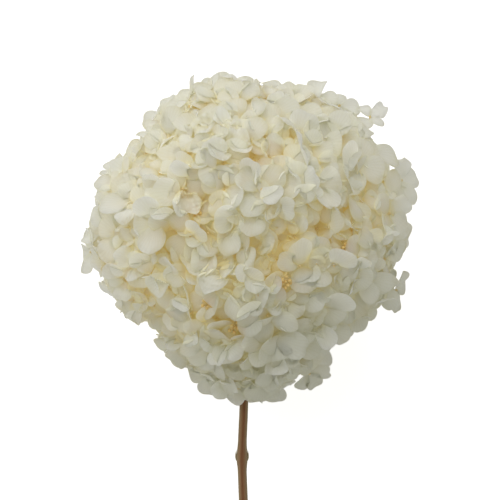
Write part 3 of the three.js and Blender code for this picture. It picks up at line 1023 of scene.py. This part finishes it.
def build_stem(material):
    """The stem: along s, in cm, and round the turn a, the radius is (CAD radius) (1 - GROOVE_DEPTH
    groove + roughness), where the grooves are sines of a that wander along s. Its flanks, cos(a)^2 (1
    - GROOVE_LESS_SHEEN groove), carry a painted olive sheen. The ends close in rings towards the
    middle."""
    path, radius = stem_line()
    a = np.linspace(0, 2 * math.pi, STEM_SIDES, endpoint=False)[None, :]
    s = path[:, 1:2] / (10 * MM)
    ridges = (
        0.5 * np.sin(5 * a + 0.8 * np.sin(0.7 * s))
        + 0.3 * np.sin(9 * a + 1.2 * np.sin(0.9 * s + 1))
        + 0.2 * np.sin(14 * a + 1.5 * np.sin(1.7 * s + 2))
    )
    groove = 0.5 - 0.5 * ridges
    rough = BARK_ROUGHNESS * draws(9).normal(0, 1, groove.shape)
    wall = radius[:, None] * (1 - GROOVE_DEPTH * groove + rough)
    # painted sheen: olive on the stem's left and right flanks, less in the grooves
    flank = np.cos(a) ** 2 * (1 - GROOVE_LESS_SHEEN * groove)

    ends = END_RINGS[:, None]
    rings = np.concatenate([ends * wall[:1], wall, ends[::-1] * wall[-1:]])
    spine = np.concatenate(
        [np.repeat(path[:1], len(ends), 0), path, np.repeat(path[-1:], len(ends), 0)]
    )
    way_round = np.stack([np.cos(a), np.zeros_like(a), -np.sin(a)], -1)
    ring = spine[:, None, :] + rings[..., None] * way_round
    points = to_world(np.concatenate([spine[:1], ring.reshape(-1, 3), spine[-1:]]))
    points[:, 2] = np.maximum(points[:, 2], STEM_TABLE_GAP)
    face_sets = tube_faces(len(rings), STEM_SIDES)
    stem = mesh_object("woody_stem", points, face_sets, material, "stem")

    ones = np.ones(len(END_RINGS))
    point_attribute(stem, "groove", over_stem(groove, ones))
    point_attribute(stem, "flank", over_stem(flank, 0 * ones))
    point_attribute(stem, "heart", over_stem(np.ones_like(groove), END_HEARTS))
    point_attribute(stem, "cut", over_stem(np.zeros_like(groove), ones))
    v = np.repeat(np.linspace(0, 1, len(rings)), STEM_SIDES)
    u = np.tile(np.linspace(0, 1, STEM_SIDES, endpoint=False), len(rings))
    point_uv(stem, np.concatenate([[[0, 0]], np.stack([u, v], 1), [[0, 1]]]))


def leaf_joints():
    """The middle and radius of the stem at each leaf joint: where the CAD rings stand out most from
    the mean of those within the window round them."""
    middles, radii = stem_rings()
    along = middles[:, 1]
    near = np.abs(along[:, None] - along[None, :]) < JOINT_WINDOW
    typical = (near * radii).sum(1) / near.sum(1)
    swollen = radii - typical
    peak = np.array([swollen[row].max() for row in near]) == swollen
    joints = peak & (swollen > JOINT_STANDS_OUT) & (along < JOINT_CEILING)
    return middles[joints], radii[joints]


def build_leaf_buds(material):
    """A pair of pointed buds at each joint, a quarter turn on from the last pair. Over t from base to
    point and the turn b, a bud is an upright body of half width LEAF_BUD_WIDTH / 2 sin(pi t^0.7)^0.8,
    flatter than wide, whose middle line bows out from the stem as sin(pi t)."""
    t = np.linspace(0.02, 0.99, LEAF_BUD_STEPS)
    half_width = LEAF_BUD_WIDTH / 2 * np.sin(math.pi * t**0.7) ** 0.8
    bow = LEAF_BUD_WIDTH * (LEAF_BUD_BOW * np.sin(math.pi * t) - LEAF_BUD_INSET)
    rise = (t - LEAF_BUD_FOOT)[:, None] * LEAF_BUD_LENGTH * np.array([0, 1.0, 0])
    b = np.linspace(0, 2 * math.pi, LEAF_BUD_SIDES, endpoint=False)[:, None]
    buds = []
    for number, (middle, radius) in enumerate(zip(*leaf_joints())):
        for side in (0, 1):
            turn = math.pi * (side + 0.5 * number) + LEAF_BUD_TURN
            out = np.array([math.cos(turn), 0.0, math.sin(turn)])
            aside = np.array([-math.sin(turn), 0.0, math.cos(turn)])
            spine = middle + (radius + bow)[:, None] * out + rise
            way_round = LEAF_BUD_FLATNESS * np.cos(b) * out + np.sin(b) * aside
            ring = spine[:, None] + half_width[:, None, None] * way_round
            buds.append(np.concatenate([spine[:1], ring.reshape(-1, 3), spine[-1:]]))
    face_sets = [
        repeat_faces(faces, len(buds), len(buds[0]))
        for faces in tube_faces(LEAF_BUD_STEPS, LEAF_BUD_SIDES)
    ]
    points = to_world(np.concatenate(buds))
    piece = mesh_object("leaf_buds", points, face_sets, material)
    point_attribute(piece, "flank", np.full(len(points), LEAF_BUD_OLIVE))
    point_uv(piece, np.zeros((len(points), 2)))


# ---------------------------------------------------------------- table, light and camera


def build_table():
    half = TABLE_HALF_WIDTH
    mesh = bpy.data.meshes.new("table")
    corners = [(-half, -half, 0), (half, -half, 0), (half, half, 0), (-half, half, 0)]
    mesh.from_pydata(corners, [], [(0, 1, 2, 3)])
    mesh.materials.append(table_material())
    place_in_scene("table", mesh)


def aim(piece, place, target, up):
    """Turns a camera or light at a place so that it looks at the target with that up direction."""
    back = Vector(place - target).normalized()
    right = Vector(up).cross(back).normalized()
    turn = Matrix((right, back.cross(right), back)).transposed().to_4x4()
    piece.matrix_world = Matrix.Translation(Vector(place)) @ turn


def build_lights():
    """One large soft light from the upper left, and a pale even sky."""
    light = bpy.data.lights.new("key_light", "AREA")
    light.shape = "DISK"
    light.size = KEY_SIZE
    light.energy = KEY_POWER
    light.color = KEY_COLOUR
    key_place = to_world(unit(np.array(KEY_WAY)) * KEY_DISTANCE)
    aim(place_in_scene("key_light", light), key_place, HEAD_MIDDLE, UP_STEM)

    world = bpy.data.worlds.new("studio")
    world.use_nodes = True
    sky = world.node_tree.nodes["Background"]
    sky.inputs["Color"].default_value = SKY_COLOUR
    sky.inputs["Strength"].default_value = SKY_STRENGTH
    bpy.context.scene.world = world
    bpy.context.scene.view_settings.view_transform = "Standard"
    bpy.context.scene.cycles.diffuse_bounces = LIGHT_BOUNCES


def build_camera():
    camera = bpy.data.cameras.new("camera")
    camera.lens = camera.sensor_width * CAMERA_DISTANCE / VIEW_WIDTH
    camera.dof.use_dof = False
    piece = place_in_scene("camera", camera)
    target = to_world(np.array([*VIEW_CENTRE, 0.0]))
    aim(piece, target + CAMERA_DISTANCE * FRONT, target, UP_STEM)
    bpy.context.scene.camera = piece


# ---------------------------------------------------------------- the whole scene

build_camera()
build_lights()
build_table()
materials = {"sepals": sepal_material(vein_group(), rim_group()), "stalks": stalk_material()}
bark = bark_material()
build_head(materials)
finish_branches(materials["stalks"])
build_stem(bark)
build_leaf_buds(bark)
